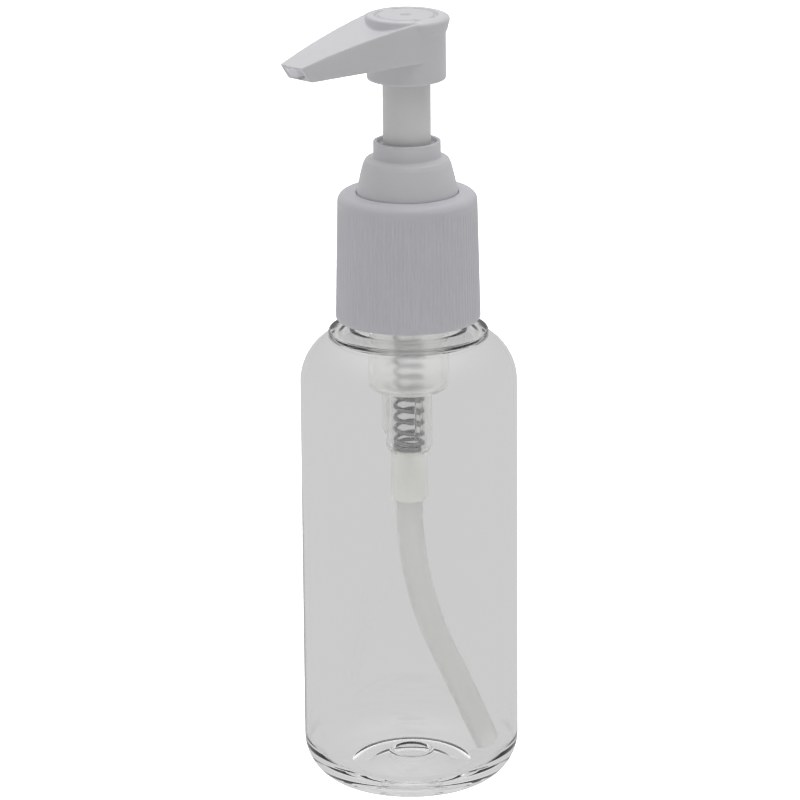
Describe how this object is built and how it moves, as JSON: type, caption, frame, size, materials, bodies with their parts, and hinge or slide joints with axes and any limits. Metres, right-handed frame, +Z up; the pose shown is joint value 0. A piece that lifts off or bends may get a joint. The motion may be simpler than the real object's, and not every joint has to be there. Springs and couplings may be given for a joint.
{
  "type": "soap pump dispenser",
  "caption": "Clear round bottle with a ribbed white screw closure and a push pump with a tapering spout, spring and bent dip tube.",
  "frame": {"origin": "bottle's axis at the plane that it stands on", "axes": "+Z up along the bottle and pump axis, spout towards -Y"},
  "size_m": [0.041, 0.0508, 0.1495],
  "materials": {
    "clear_pet": "clear polished PET",
    "white_closure": "moulded white polypropylene, finely ribbed skirt",
    "gasket_foam": "soft white liner",
    "milky_pp": "natural translucent polypropylene",
    "milky_pe": "natural translucent polyethylene tube",
    "ball_steel": "polished stainless steel",
    "spring_steel": "drawn stainless wire",
    "natural_pp": "natural polypropylene",
    "natural_pe": "soft natural polyethylene",
    "white_stem": "smooth white polypropylene",
    "white_chaplet": "smooth white polypropylene",
    "white_head": "satin white polypropylene"
  },
  "bodies": {
    "bottle": {"bottle": "clear_pet"},
    "pump_core": {"housing": "milky_pp", "gasket": "gasket_foam", "chaplet": "white_chaplet", "dip_tube": "milky_pe", "spring": "spring_steel"},
    "closure": {"closure": "white_closure"},
    "plunger": {"valve_core": "natural_pp"},
    "head": {"head": "white_head", "stem": "white_stem"},
    "piston": {"piston": "natural_pe"},
    "ball": {"ball": "ball_steel"}
  },
  "joints": [
    {"name": "pump_lift", "type": "slide", "parent": "bottle", "child": "pump_core", "axis": [0, 0, 1], "range_m": [0, 0.00476]},
    {"name": "closure_turn", "type": "hinge", "parent": "pump_core", "child": "closure", "pos_m": [0, 0, 0.1], "axis": [0, 0, 1], "range_deg": [0, 540.1]},
    {"name": "pump_stroke", "type": "slide", "parent": "pump_core", "child": "plunger", "axis": [0, 0, 1], "range_m": [-0.012, 0], "stiffness_N_per_m": 500, "springref_m": 0.01, "deforming": ["spring"]},
    {"name": "head_turn", "type": "hinge", "parent": "plunger", "child": "head", "pos_m": [0, 0, 0.12], "axis": [0, 0, 1], "continuous": true},
    {"name": "piston_lag", "type": "slide", "parent": "plunger", "child": "piston", "axis": [0, 0, 1], "range_m": [0, 0.0012]},
    {"name": "ball_lift", "type": "slide", "parent": "pump_core", "child": "ball", "axis": [0, 0, 1], "range_m": [0, 0.0015]}
  ],
  "couplings": [
    {"joint": "closure_turn", "follows": "pump_lift", "rad_per_m": 1979}
  ]
}
